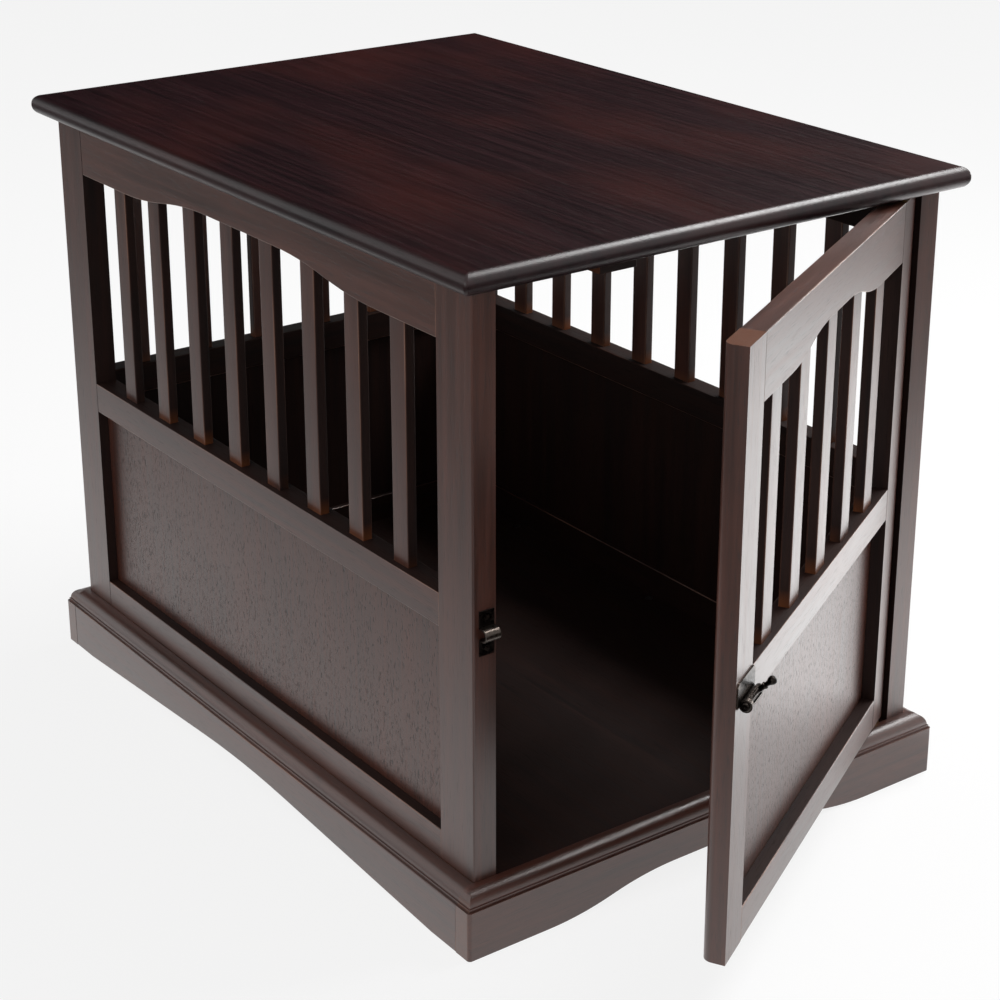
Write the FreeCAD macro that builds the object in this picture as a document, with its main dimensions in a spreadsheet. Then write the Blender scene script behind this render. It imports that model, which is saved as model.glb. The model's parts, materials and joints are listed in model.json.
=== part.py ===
import FreeCAD, Part
import os
import re

import Sketcher

# Dog crate end table: a wooden crate with slatted sides, a door hung on pivots and a table top.
# Millimetres and degrees. +Z is up, the door is on the -Y side and the floor is z = 0. X = 0 is the middle
# of the table, and Y = 0 is the middle of the whole, with the door standing open as it does at rest.
doc = FreeCAD.newDocument("dog_crate_end_table")

# ---------------------------------------------------------------------------------------------------
# Driving sizes
# ---------------------------------------------------------------------------------------------------
driving = {
    # table top
    "top_width": 508,
    "top_depth": 698.5,
    "overall_height": 559,
    "top_thick": 18,
    "top_overhang": 18,
    "top_edge_band": 1,
    # side frames and back
    "frame_thick": 21,
    "frame_foot": 20,
    "stile_width": 45,
    "corner_round": 1.5,
    "top_rail_drop": 48,
    "mid_rail_low": 260,
    "mid_rail_height": 28.5,
    "low_rail_show": 25.5,
    "side_arch_rise": 14,
    "side_arch_flat": 80,
    "side_arch_middle": 114,
    "back_arch_rise": 14,
    "back_arch_flat": 65,
    "back_arch_middle": 90,
    "side_slat_count": 8,
    "side_slat_end_gap": 50,
    "back_slat_count": 6,
    "back_slat_end_gap": 32,
    "slat_width": 21,
    "slat_thick": 9,
    "panel_thick": 5,
    "panel_backing": 6,
    # wood joints
    "groove_depth": 8,
    "tenon_length": 18,
    "tenon_thick": 8,
    "shoulder_margin": 1,
    "joint_gap": 0.2,
    "dowel_radius": 4,
    "dowel_length": 32,
    "dowel_in_stile": 13,
    "dowel_inset": 15,
    # plinth
    "plinth_height": 56,
    "plinth_thick": 18,
    "plinth_face": 43,
    "plinth_step": 2,
    "plinth_riser": 2.5,
    "plinth_quirk": 1,
    "plinth_corner_round": 3,
    "plinth_arch_rise": 16,
    "front_foot": 78,
    "front_arch_middle": 90,
    "side_foot": 34,
    "side_crown": 140,
    "plinth_screw_inset": 90,
    # floor
    "floor_drop": 2,
    "floor_thick": 12,
    "batten_size": 18,
    "batten_end_gap": 60,
    "batten_screw_inset": 100,
    "stop_length": 36,
    "stop_inset": 110,
    # door
    "door_open": 29.3,
    "door_thick": 19,
    "door_gap": 2,
    "door_top_gap": 2.5,
    "door_foot_gap": 3.5,
    "door_stile": 35,
    "door_top_rail": 51,
    "door_low_rail": 29,
    "door_arch_rise": 14,
    "door_arch_flat": 65,
    "door_arch_middle": 50,
    "door_slat_count": 5,
    "door_slat_end_gap": 34.5,
    "door_slat_width": 23,
    "door_panel_thick": 4,
    "door_panel_backing": 3,
    "door_edge_round": 8,
    # door pivots
    "pivot_inset": 10,
    "pin_radius": 3,
    "pin_in_door": 26,
    "pin_in_bush": 8,
    "bush_wall": 1.44,
    "flange_radius": 8,
    "running_gap": 0.06,
    "clear_gap": 0.3,
    "bush_gap": 0.05,
    # latch and keeper
    "latch_rise": 10,
    "latch_inset": 38.5,
    "latch_plate_length": 37,
    "latch_plate_height": 19,
    "latch_plate_thick": 1.2,
    "latch_plate_round": 4,
    "latch_screw_inset": 5.5,
    "latch_screw_rise": 13,
    "barrel_wall": 0.94,
    "barrel_start": 4.5,
    "barrel_length": 26,
    "barrel_standoff": 0.1,
    "bolt_radius": 3.5,
    "bolt_length": 34,
    "bolt_throw": 18,
    "bolt_past_barrel": 2,
    "stem_radius": 2.1,
    "slot_gap": 0.6,
    "stem_length": 15,
    "knob_radius": 3.4,
    "keeper_length": 37,
    "keeper_width": 13.5,
    "keeper_thick": 1.3,
    "keeper_gap": 0.7,
    "keeper_inset": 12,
    "keeper_screw_rise": 13,
    # screws, wide and narrow
    "screw_radius": 2,
    "screw_head": 4,
    "screw_length": 30,
    "pin_screw_radius": 1.2,
    "pin_screw_head": 2.4,
    "pin_screw_length": 13,
    "screw_gap": 0.1,
}

# Sizes worked out from the driving ones.
worked_out = {
    "top_under": "overall_height - top_thick",
    "top_edge_round": "(top_thick - top_edge_band) / 2",
    "low_rail_top": "plinth_height + low_rail_show",
    "panel_setback": "frame_thick - panel_thick - panel_backing",
    "tenon_shoulder": "groove_depth + shoulder_margin",
    "floor_top": "plinth_height - floor_drop",
    "carcass_width": "top_width - 2 * top_overhang",
    "carcass_depth": "top_depth - 2 * top_overhang",
    "inner_width": "carcass_width - 2 * frame_thick",
    "inner_depth": "carcass_depth - frame_thick",
    "plinth_width": "carcass_width + 2 * plinth_thick",
    "plinth_depth": "carcass_depth + 2 * plinth_thick",
    "plinth_round": "plinth_height - plinth_face - plinth_riser",
    "mid_rail_high": "mid_rail_low + mid_rail_height",
    "door_width": "inner_width - 2 * door_gap",
    "door_low": "plinth_height + door_foot_gap",
    "door_high": "top_under - door_top_gap",
    "door_panel_setback": "door_thick - door_panel_thick - door_panel_backing",
    "pivot_along": "door_width - pivot_inset",
    "bush_radius": "pin_radius + running_gap + bush_wall",
    "latch_height": "mid_rail_low + latch_rise",
    "barrel_radius": "bolt_radius + running_gap + barrel_wall",
    "bolt_axis": "barrel_radius + barrel_standoff",
    "barrel_tip": "pivot_along - latch_inset + barrel_start + barrel_length",
    "door_reach": "barrel_tip * sin(door_open) + (door_thick / 2 + bolt_axis + barrel_radius) * cos(door_open)",
    "cabinet_y": "(carcass_depth / 2 - door_thick / 2 + door_reach - top_depth / 2) / 2",
    "front_y": "cabinet_y - carcass_depth / 2",
    "rear_y": "cabinet_y + carcass_depth / 2",
    "pivot_x": "inner_width / 2 - door_gap - pivot_inset",
    "pivot_y": "front_y + door_thick / 2",
    "door_x": "pivot_x - pivot_along * cos(door_open) + door_thick / 2 * sin(door_open)",
    "door_y": "pivot_y - pivot_along * sin(door_open) - door_thick / 2 * cos(door_open)",
    "batten_top": "floor_top - floor_thick",
    "plinth_screw_height": "batten_top - batten_size / 2",
}

sheet = doc.addObject("Spreadsheet::Sheet", "sizes")
for row, (name, size) in enumerate(driving.items(), start=1):
    sheet.set(f"A{row}", name)
    sheet.set(f"B{row}", str(size))
    sheet.setAlias(f"B{row}", name)
doc.recompute()

worked_out_name = re.compile(r"\b(" + "|".join(worked_out) + r")\b")
driving_name = re.compile(r"\b(" + "|".join(driving) + r")\b")


def spelled_out(text):
    """The formula with every worked-out size replaced by the driving sizes it comes from."""
    while worked_out_name.search(text):
        text = worked_out_name.sub(lambda found: "(" + worked_out[found.group(1)] + ")", text)
    return text


def formula(text):
    """The formula as the document's objects take it."""
    return driving_name.sub(r"sizes.\1", spelled_out(text))


def number(text):
    """The formula's value now."""
    return float(sheet.evalExpression(spelled_out(text)))


# ---------------------------------------------------------------------------------------------------
# Places: x, y, z and a turn about the vertical. In each frame of boards x runs along the face as seen
# from outside, from its left end, y runs from the outer face inward, and z is the height off the floor.
# ---------------------------------------------------------------------------------------------------
cabinet = ("0", "0", "0", "0")
left_side = ("-carcass_width / 2", "rear_y", "0", "-90")
right_side = ("carcass_width / 2", "front_y", "0", "90")
back_side = ("inner_width / 2", "rear_y", "0", "180")
door_face = ("door_x", "door_y", "0", "door_open")
latch_face = ("door_x + latch_inset * cos(door_open)", "door_y + latch_inset * sin(door_open)", "0",
              "door_open + 180")
keeper_face = ("-carcass_width / 2 + keeper_inset + keeper_width / 2", "front_y", "0", "180")

along_x = FreeCAD.Vector(1, 0, 0)
along_y = FreeCAD.Vector(0, 1, 0)
upright = FreeCAD.Vector(0, 0, 1)
knob_lean = 45
knob_way = FreeCAD.Rotation(along_x, -knob_lean).multVec(upright)

pieces = []
tiny = 1e-6


def bind(thing, **sizes):
    for name, text in sizes.items():
        thing.setExpression(name, formula(text))


def move(thing, x, y, z):
    for axis, text in zip("xyz", (x, y, z)):
        thing.setExpression("Placement.Base." + axis, formula(text))


def seat(thing, place):
    """Put a finished piece at its place."""
    thing.Placement.Rotation = FreeCAD.Rotation(upright, 0)
    move(thing, *place[:3])
    thing.setExpression("Placement.Rotation.Angle", formula(place[3]))


def new_piece(kind, label, place):
    piece = doc.addObject(kind, label)
    piece.Label = label
    seat(piece, place)
    pieces.append(piece)
    return piece


# ---------------------------------------------------------------------------------------------------
# Features of a body
# ---------------------------------------------------------------------------------------------------
def block(body, kind, spot, size):
    """Add ("Additive") or cut ("Subtractive") a box, from its low corner."""
    feature = body.newObject(f"PartDesign::{kind}Box", f"{body.Name}_block")
    bind(feature, Length=size[0], Width=size[1], Height=size[2])
    move(feature, *spot)
    return feature


def rod(body, kind, spot, way, radius, length):
    """Add or cut a cylinder that starts at a spot and runs one way."""
    feature = body.newObject(f"PartDesign::{kind}Cylinder", f"{body.Name}_rod")
    bind(feature, Radius=radius, Height=length)
    feature.Placement.Rotation = FreeCAD.Rotation(upright, way)
    move(feature, *spot)
    return feature


def sink(body, spot, way, head, shank):
    """Cut the cone that a countersunk head lies in."""
    feature = body.newObject("PartDesign::SubtractiveCone", f"{body.Name}_sink")
    bind(feature, Radius1=f"{head} + screw_gap", Radius2=f"{shank} + screw_gap", Height=f"{head} - {shank}")
    feature.Placement.Rotation = FreeCAD.Rotation(upright, way)
    move(feature, *spot)


def repeat(body, feature, step, count):
    """Repeat a feature along the body's X axis."""
    row = body.newObject("PartDesign::LinearPattern", f"{body.Name}_row")
    row.Originals = [feature]
    row.Direction = (role(body, "X_Axis"), [""])
    row.setExpression("Length", formula(f"({step}) * ({count} - 1)"))
    row.setExpression("Occurrences", formula(count))
    body.Tip = row


def role(body, name):
    return next(part for part in body.Origin.OriginFeatures if part.Role == name)


def outline(body, plane, corners, lift="0"):
    """A closed sketch. A corner is (x, y), with (radius, turn) added where an arc leaves it.

    turn is 1 where the arc bends left on its way to the next corner and -1 where it bends right.
    """
    sketch = body.newObject("Sketcher::SketchObject", f"{body.Name}_outline")
    sketch.AttachmentSupport = (role(body, plane), [""])
    sketch.MapMode = "FlatFace"
    sketch.setExpression("AttachmentOffset.Base.z", formula(lift))
    spots = [FreeCAD.Vector(number(corner[0]), number(corner[1]), 0) for corner in corners]
    ends = []
    for index, corner in enumerate(corners):
        here = spots[index]
        there = spots[(index + 1) % len(spots)]
        if len(corner) == 2:
            sketch.addGeometry(Part.LineSegment(here, there), False)
        else:
            sketch.addGeometry(bend(here, there, number(corner[2]), corner[3]), False)
        forward = sketch.getPoint(index, 1).distanceToPoint(here) < tiny
        ends.append((1, 2) if forward else (2, 1))
    for index, corner in enumerate(corners):
        after = (index + 1) % len(corners)
        start = ends[index][0]
        sketch.addConstraint(Sketcher.Constraint("Coincident", index, ends[index][1], after, ends[after][0]))
        for kind, axis, text in (("DistanceX", -2, corner[0]), ("DistanceY", -1, corner[1])):
            if text == "0":
                sketch.addConstraint(Sketcher.Constraint("PointOnObject", index, start, axis))
            else:
                size = sketch.addConstraint(Sketcher.Constraint(kind, -1, 1, index, start, number(text)))
                sketch.setExpression(f"Constraints[{size}]", formula(text))
        if len(corner) > 2:
            size = sketch.addConstraint(Sketcher.Constraint("Radius", index, number(corner[2])))
            sketch.setExpression(f"Constraints[{size}]", formula(corner[2]))
    return sketch


def bend(here, there, radius, turn):
    """The arc from here to there, under half a circle, that bends left (1) or right (-1)."""
    chord = there - here
    left = FreeCAD.Vector(-chord.y, chord.x, 0).normalize()
    rise = (radius ** 2 - (chord.Length / 2) ** 2) ** 0.5
    middle = (here + there) / 2 + left * turn * (rise - radius)
    return Part.Arc(here, middle, there)


def pad(body, sketch, length, reverse=False):
    feature = body.newObject("PartDesign::Pad", f"{body.Name}_pad")
    feature.Profile = sketch
    feature.Reversed = reverse
    bind(feature, Length=length)
    return feature


def cut_along(body, sketch, length, reverse=False):
    feature = body.newObject("PartDesign::Pocket", f"{body.Name}_cut")
    feature.Profile = sketch
    feature.Reversed = reverse
    bind(feature, Length=length)
    return feature


def soften(body, radius, wanted):
    """Round the edges of the body so far that the test picks."""
    doc.recompute()
    base = body.Tip
    names = [f"Edge{index}" for index, edge in enumerate(base.Shape.Edges, start=1) if wanted(edge)]
    feature = body.newObject("PartDesign::Fillet", f"{body.Name}_round")
    feature.Base = (base, names)
    bind(feature, Radius=radius)


def arched(start, end, low, high, flat, middle, rise):
    """Face outline of a board whose lower edge rises to a flat middle through an S at each end."""
    run = f"(({end}) - ({start}) - 2 * {flat} - {middle}) / 2"
    radius = f"(({run}) ^ 2 + {rise} ^ 2) / (4 * {rise})"
    return [
        (start, low),
        (f"{start} + {flat}", low, radius, 1),
        (f"{start} + {flat} + {run} / 2", f"{low} + {rise} / 2", radius, -1),
        (f"{start} + {flat} + {run}", f"{low} + {rise}"),
        (f"{end} - {flat} - {run}", f"{low} + {rise}", radius, -1),
        (f"{end} - {flat} - {run} / 2", f"{low} + {rise} / 2", radius, 1),
        (f"{end} - {flat}", low),
        (end, low),
        (end, high),
        (start, high),
    ]


def peaked(length, high, foot, crown, rise):
    """Face outline of a board whose lower edge slopes up from each foot to a wide round crown."""
    slope = f"({rise} / ({length} / 2 - {foot} - {crown} / 4))"
    shoulder = f"{slope} * ({length} / 2 - {foot} - {crown} / 2)"
    radius = f"{crown} / 2 * sqrt(1 + {slope} ^ 2) / {slope}"
    return [
        ("0", "0"),
        (foot, "0"),
        (f"{length} / 2 - {crown} / 2", shoulder, radius, -1),
        (f"{length} / 2 + {crown} / 2", shoulder),
        (f"{length} - {foot}", "0"),
        (length, "0"),
        (length, high),
        ("0", high),
    ]


# ---------------------------------------------------------------------------------------------------
# Screws: countersunk, each one a solid, grouped by what they hold
# ---------------------------------------------------------------------------------------------------
wide_screw = ("screw_radius", "screw_head", "screw_length")
narrow_screw = ("pin_screw_radius", "pin_screw_head", "pin_screw_length")


def screw_group(label, place, kind, spots):
    """spots: (x, y, z, way), the middle of each head's face and the way the screw points."""
    shank, head, length = kind
    screws = []
    for index, (x, y, z, way) in enumerate(spots):
        cone = doc.addObject("Part::Cone", f"{label}_head{index}")
        bind(cone, Radius1=head, Radius2=shank, Height=f"{head} - {shank}")
        stem = doc.addObject("Part::Cylinder", f"{label}_stem{index}")
        bind(stem, Radius=shank, Height=length)
        for solid in (cone, stem):
            solid.Placement.Rotation = FreeCAD.Rotation(upright, way)
            move(solid, x, y, z)
        screw = doc.addObject("Part::Fuse", f"{label}_screw{index}")
        screw.Base = cone
        screw.Tool = stem
        screws.append(screw)
    group = new_piece("Part::Compound", label, place)
    group.Links = screws


def screw_hole(body, kind, spot, way, depth, countersunk=True):
    """A hole for one screw. depth is from the face drilled."""
    shank, head, _ = kind
    rod(body, "Subtractive", spot, way, f"{shank} + screw_gap", depth)
    if countersunk:
        sink(body, spot, way, head, shank)


# ---------------------------------------------------------------------------------------------------
# A frame of boards: two stiles or none, three rails, a panel below the mid rail and slats above it
# ---------------------------------------------------------------------------------------------------
class Frame:
    """Sizes of one frame, as formulas."""

    def __init__(self, name, place, width, **sizes):
        self.name = name
        self.place = place
        self.width = width
        self.stile = "stile_width"
        self.thick = "frame_thick"
        self.low = "frame_foot"
        self.high = "top_under"
        self.low_rail_top = "low_rail_top"
        self.top_rail = "top_rail_drop"
        self.slat_width = "slat_width"
        self.slat_thick = "slat_thick"
        self.panel_setback = "panel_setback"
        self.panel_thick = "panel_thick"
        self.__dict__.update(sizes)
        self.start = self.stile
        self.end = f"{self.width} - {self.stile}"
        self.opening = f"({self.width} - 2 * {self.stile})"
        self.slat_setback = f"({self.thick} - {self.slat_thick}) / 2"
        self.slat_step = f"(({self.opening} - 2 * {self.end_gap} - {self.slat_width}) / ({self.count} - 1))"
        self.arch_low = f"{self.high} - {self.top_rail}"
        self.arch_high = f"{self.arch_low} + {self.rise}"

    def rails(self):
        """(name, lowest height, height) of the mid and bottom rails and of the top rail at its ends."""
        return (
            ("top_rail", self.arch_low, self.top_rail),
            ("mid_rail", "mid_rail_low", "mid_rail_height"),
            ("bottom_rail", self.low, f"{self.low_rail_top} - {self.low}"),
        )


def tenon_space(frame, low, height, slack):
    """Low corner and size, across the thickness and upward, of a rail's tenon or of its mortise."""
    y = f"{frame.thick} / 2 - tenon_thick / 2 - {slack}"
    z = f"{low} + tenon_shoulder - {slack}"
    return y, z, f"tenon_thick + 2 * {slack}", f"{height} - 2 * tenon_shoulder + 2 * {slack}"


def cut_mortises(body, frame, x):
    """Mortises for the rails and the groove for the panel, in the edge of a stile that starts at x."""
    deep = "tenon_length + joint_gap"
    mortise_x = f"{x} - tenon_length - joint_gap" if x == frame.start else x
    for _, low, height in frame.rails():
        y, z, width, tall = tenon_space(frame, low, height, "joint_gap")
        block(body, "Subtractive", (mortise_x, y, z), (deep, width, tall))
    groove_x = f"{x} - groove_depth" if x == frame.start else x
    block(body, "Subtractive",
          (groove_x, f"{frame.panel_setback} - joint_gap", f"{frame.low_rail_top} - groove_depth"),
          ("groove_depth", f"{frame.panel_thick} + 2 * joint_gap",
           f"mid_rail_low - {frame.low_rail_top} + 2 * groove_depth"))


def side_stile(label, frame, left):
    """A square stile with its outer upright corner eased."""
    body = new_piece("PartDesign::Body", label, frame.place)
    corner_x = "0" if left else frame.end
    block(body, "Additive", (corner_x, "0", frame.low),
          (frame.stile, frame.thick, f"{frame.high} - {frame.low}"))
    edge_x = 0 if left else number(frame.width)
    soften(body, "corner_round", lambda edge: upright_at(edge, edge_x, 0))
    cut_mortises(body, frame, frame.start if left else frame.end)
    return body


def upright_at(edge, x, y):
    """Whether an edge is upright and stands at x, y."""
    return all(abs(corner.X - x) < tiny and abs(corner.Y - y) < tiny for corner in edge.Vertexes)


def door_stile(label, frame, left):
    """A stile of the door with its outer edge rounded: behind on the free side, in front on the pivots."""
    body = new_piece("PartDesign::Body", label, frame.place)
    if left:
        corners = [
            ("0", "0"),
            (frame.stile, "0"),
            (frame.stile, frame.thick),
            ("door_edge_round", frame.thick, "door_edge_round", 1),
            ("0", f"{frame.thick} - door_edge_round"),
        ]
    else:
        corners = [
            (frame.end, "0"),
            (f"{frame.width} - door_edge_round", "0", "door_edge_round", 1),
            (frame.width, "door_edge_round"),
            (frame.width, frame.thick),
            (frame.end, frame.thick),
        ]
    pad(body, outline(body, "XY_Plane", corners, lift=frame.low), f"{frame.high} - {frame.low}")
    cut_mortises(body, frame, frame.start if left else frame.end)
    return body


def frame_rail(frame, name, low, height, tenons=True):
    body = new_piece("PartDesign::Body", f"{frame.name}_{name}", frame.place)
    if name == "top_rail":
        face = arched(frame.start, frame.end, frame.arch_low, frame.high,
                      frame.flat, frame.middle, frame.rise)
        pad(body, outline(body, "XZ_Plane", face), frame.thick, reverse=True)
    else:
        block(body, "Additive", (frame.start, "0", low), (frame.opening, frame.thick, height))
    if tenons:
        y, z, width, tall = tenon_space(frame, low, height, "0")
        for x in (f"{frame.start} - tenon_length", frame.end):
            block(body, "Additive", (x, y, z), ("tenon_length", width, tall))
    if name == "top_rail":
        cut_slat_sockets(body, frame, frame.arch_low, f"{frame.rise} + groove_depth")
    if name == "mid_rail":
        cut_slat_sockets(body, frame, "mid_rail_high - groove_depth", "groove_depth")
        cut_panel_groove(body, frame, "mid_rail_low")
    if name == "bottom_rail":
        cut_panel_groove(body, frame, f"{frame.low_rail_top} - groove_depth")
    return body


def cut_slat_sockets(body, frame, low, depth):
    socket = block(body, "Subtractive",
                   (f"{frame.start} + {frame.end_gap} - joint_gap",
                    f"{frame.slat_setback} - joint_gap", low),
                   (f"{frame.slat_width} + 2 * joint_gap", f"{frame.slat_thick} + 2 * joint_gap", depth))
    repeat(body, socket, frame.slat_step, frame.count)


def cut_panel_groove(body, frame, low):
    block(body, "Subtractive", (frame.start, f"{frame.panel_setback} - joint_gap", low),
          (frame.opening, f"{frame.panel_thick} + 2 * joint_gap", "groove_depth"))


def frame_panel(frame, reach):
    """The recessed panel. reach is how far it enters the stiles."""
    panel = new_piece("PartDesign::Body", f"{frame.name}_panel", frame.place)
    block(panel, "Additive",
          (f"{frame.start} - ({reach})", frame.panel_setback,
           f"{frame.low_rail_top} - groove_depth + joint_gap"),
          (f"{frame.opening} + 2 * ({reach})", frame.panel_thick,
           f"mid_rail_low - {frame.low_rail_top} + 2 * groove_depth - 2 * joint_gap"))


def frame_slats(frame):
    slats = []
    for index in range(int(number(frame.count))):
        slat = doc.addObject("Part::Box", f"{frame.name}_slat{index}")
        bind(slat, Length=frame.slat_width, Width=frame.slat_thick,
             Height=f"{frame.arch_high} - mid_rail_high + 2 * groove_depth - 2 * joint_gap")
        move(slat, f"{frame.start} + {frame.end_gap} + {index} * {frame.slat_step}", frame.slat_setback,
             "mid_rail_high - groove_depth + joint_gap")
        slats.append(slat)
    group = new_piece("Part::Compound", f"{frame.name}_slats", frame.place)
    group.Links = slats


# ---------------------------------------------------------------------------------------------------
# Side frames. The left one's rear stile is at its left end as seen from outside, the right one's at
# its right end.
# ---------------------------------------------------------------------------------------------------
back = Frame("back", back_side, "inner_width", stile="0",
             count="back_slat_count", end_gap="back_slat_end_gap",
             rise="back_arch_rise", flat="back_arch_flat", middle="back_arch_middle")


def dowel_heights(rail, low, height):
    """Heights of the dowels at each end of one of the back's rails: the mid rail has room for one."""
    if rail == "mid_rail":
        return [f"{low} + {height} / 2"]
    return [f"{low} + dowel_inset", f"{low} + {height} - dowel_inset"]


all_dowel_heights = [z for rail, low, height in back.rails() for z in dowel_heights(rail, low, height)]
side_screw_xs = ["plinth_screw_inset", "carcass_depth / 2", "carcass_depth - plinth_screw_inset"]


def side_frame(name, place, rear_is_left):
    frame = Frame(name, place, "carcass_depth", count="side_slat_count", end_gap="side_slat_end_gap",
                  rise="side_arch_rise", flat="side_arch_flat", middle="side_arch_middle")
    for left in (True, False):
        rear = left == rear_is_left
        body = side_stile(f"{name}_{'rear' if rear else 'front'}_stile", frame, left)
        if rear:
            x = "frame_thick / 2" if left else "carcass_depth - frame_thick / 2"
            for z in all_dowel_heights:
                rod(body, "Subtractive", (x, "frame_thick", z), -along_y,
                    "dowel_radius + running_gap", "dowel_in_stile + joint_gap")
    for rail, low, height in frame.rails():
        body = frame_rail(frame, rail, low, height)
        if rail == "bottom_rail":
            for x in side_screw_xs:
                screw_hole(body, wide_screw, (x, "frame_thick", "plinth_screw_height"),
                           -along_y, "frame_thick")
    frame_panel(frame, "groove_depth - joint_gap")
    frame_slats(frame)


side_frame("left", left_side, rear_is_left=True)
side_frame("right", right_side, rear_is_left=False)

# ---------------------------------------------------------------------------------------------------
# Back: rails between the side frames, held by dowels
# ---------------------------------------------------------------------------------------------------
end_screw_x = "(inner_width / 2 - plinth_screw_inset)"
for rail, low, height in back.rails():
    body = frame_rail(back, rail, low, height, tenons=False)
    for z in dowel_heights(rail, low, height):
        for x, way in (("0", along_x), ("inner_width", -along_x)):
            rod(body, "Subtractive", (x, "frame_thick / 2", z), way,
                "dowel_radius + running_gap", "dowel_length - dowel_in_stile + joint_gap")
    if rail == "bottom_rail":
        for side in ("-1", "1"):
            screw_hole(body, wide_screw,
                       (f"inner_width / 2 + {side} * {end_screw_x}", "frame_thick", "plinth_screw_height"),
                       -along_y, "frame_thick")
frame_panel(back, "-joint_gap")
frame_slats(back)

dowels = []
for z in all_dowel_heights:
    for x in ("-dowel_in_stile", "inner_width + dowel_in_stile - dowel_length"):
        dowel = doc.addObject("Part::Cylinder", "dowel")
        bind(dowel, Radius="dowel_radius", Height="dowel_length")
        dowel.Placement.Rotation = FreeCAD.Rotation(upright, along_x)
        move(dowel, x, "frame_thick / 2", z)
        dowels.append(dowel)
new_piece("Part::Compound", "back_dowels", back_side).Links = dowels


# ---------------------------------------------------------------------------------------------------
# Plinth: the front and rear boards run the full width, the side boards fit between them
# ---------------------------------------------------------------------------------------------------
def moulding(start, way):
    """Outline of the wood taken off a plinth board's upper edge: two steps, then a quarter round."""
    def across(text):
        return f"{start} {way} ({text})"
    turn = -1 if way == "+" else 1
    return [
        (start, "plinth_face"),
        (across("plinth_step"), "plinth_face"),
        (across("plinth_step"), "plinth_face + plinth_riser"),
        (across("plinth_step + plinth_quirk"), "plinth_face + plinth_riser", "plinth_round", turn),
        (across("plinth_step + plinth_quirk + plinth_round"), "plinth_height"),
        (start, "plinth_height"),
    ]


def plinth_board(label, place, length, face, screw_xs, ends_moulded):
    body = new_piece("PartDesign::Body", label, place)
    pad(body, outline(body, "XZ_Plane", face), "plinth_thick", reverse=True)
    cut_along(body, outline(body, "YZ_Plane", moulding("0", "+")), length, reverse=True)
    if ends_moulded:
        for start, way in (("0", "+"), (length, "-")):
            cut_along(body, outline(body, "XZ_Plane", moulding(start, way)), "plinth_thick")
        end_x = number(length)
        soften(body, "plinth_corner_round", lambda edge: upright_at(edge, 0, 0) or upright_at(edge, end_x, 0))
    for x in screw_xs:
        screw_hole(body, wide_screw, (x, "plinth_thick", "plinth_screw_height"), -along_y,
                   "screw_length - frame_thick + joint_gap", countersunk=False)


front_outline = arched("0", "plinth_width", "0", "plinth_height", "front_foot", "front_arch_middle",
                       "plinth_arch_rise")
side_outline = peaked("carcass_depth", "plinth_height", "side_foot", "side_crown", "plinth_arch_rise")
end_screw_xs = [f"plinth_width / 2 + {side} * {end_screw_x}" for side in ("-1", "1")]
plinth_board("plinth_front", ("-plinth_width / 2", "front_y - plinth_thick", "0", "0"), "plinth_width",
             front_outline, end_screw_xs, True)
plinth_board("plinth_rear", ("plinth_width / 2", "rear_y + plinth_thick", "0", "180"), "plinth_width",
             front_outline, end_screw_xs, True)
plinth_board("plinth_left", ("-plinth_width / 2", "rear_y", "0", "-90"), "carcass_depth",
             side_outline, side_screw_xs, False)
plinth_board("plinth_right", ("plinth_width / 2", "front_y", "0", "90"), "carcass_depth",
             side_outline, side_screw_xs, False)

plinth_screws = []
for y in side_screw_xs:
    plinth_screws.append(("-inner_width / 2", f"front_y + {y}", "plinth_screw_height", -along_x))
    plinth_screws.append(("inner_width / 2", f"front_y + {y}", "plinth_screw_height", along_x))
for side in ("-1", "1"):
    x = f"{side} * {end_screw_x}"
    plinth_screws.append((x, "rear_y - frame_thick", "plinth_screw_height", along_y))
    plinth_screws.append((x, "front_y + frame_thick", "plinth_screw_height", -along_y))
screw_group("plinth_screws", cabinet, wide_screw, plinth_screws)


# ---------------------------------------------------------------------------------------------------
# Floor on four battens
# ---------------------------------------------------------------------------------------------------
def board(label, spot, size):
    body = new_piece("PartDesign::Body", label, cabinet)
    block(body, "Additive", spot, size)
    return body


batten_low = "batten_top - batten_size"
floor_screw_x = "(inner_width / 2 - batten_size / 2)"
floor_screw_ys = [
    "front_y + batten_screw_inset",
    "front_y + inner_depth / 2",
    "front_y + inner_depth - batten_screw_inset",
]
floor_screws = [(f"{side} * {floor_screw_x}", y, "floor_top", -upright)
                for side in ("-1", "1") for y in floor_screw_ys]
floor_panel = board("floor_panel", ("-inner_width / 2 + joint_gap", "front_y", "batten_top"),
                    ("inner_width - 2 * joint_gap", "inner_depth - joint_gap", "floor_thick"))
for spot in floor_screws:
    screw_hole(floor_panel, wide_screw, spot[:3], -upright, "floor_thick")
bush_hole = ("bush_radius + bush_gap", "pin_in_bush + clear_gap")
rod(floor_panel, "Subtractive", ("pivot_x", "pivot_y", "floor_top"), -upright, *bush_hole)

for label, side in (("floor_batten_left", "-1"), ("floor_batten_right", "1")):
    body = board(label, (f"{side} * {floor_screw_x} - batten_size / 2", "front_y + frame_thick", batten_low),
                 ("batten_size", "inner_depth - frame_thick - batten_size", "batten_size"))
    for y in floor_screw_ys:
        screw_hole(body, wide_screw, (f"{side} * {floor_screw_x}", y, "batten_top"), -upright,
                   "screw_length - floor_thick + joint_gap", countersunk=False)
front_batten = board("floor_batten_front", ("-inner_width / 2", "front_y", batten_low),
                     ("inner_width", "frame_thick", "batten_size"))
for side in ("-1", "1"):
    screw_hole(front_batten, wide_screw,
               (f"{side} * {end_screw_x}", "front_y + frame_thick", "plinth_screw_height"),
               -along_y, "frame_thick")
board("floor_batten_rear", ("-inner_width / 2", "front_y + inner_depth - batten_size", batten_low),
      ("inner_width", "batten_size", "batten_size"))
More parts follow.
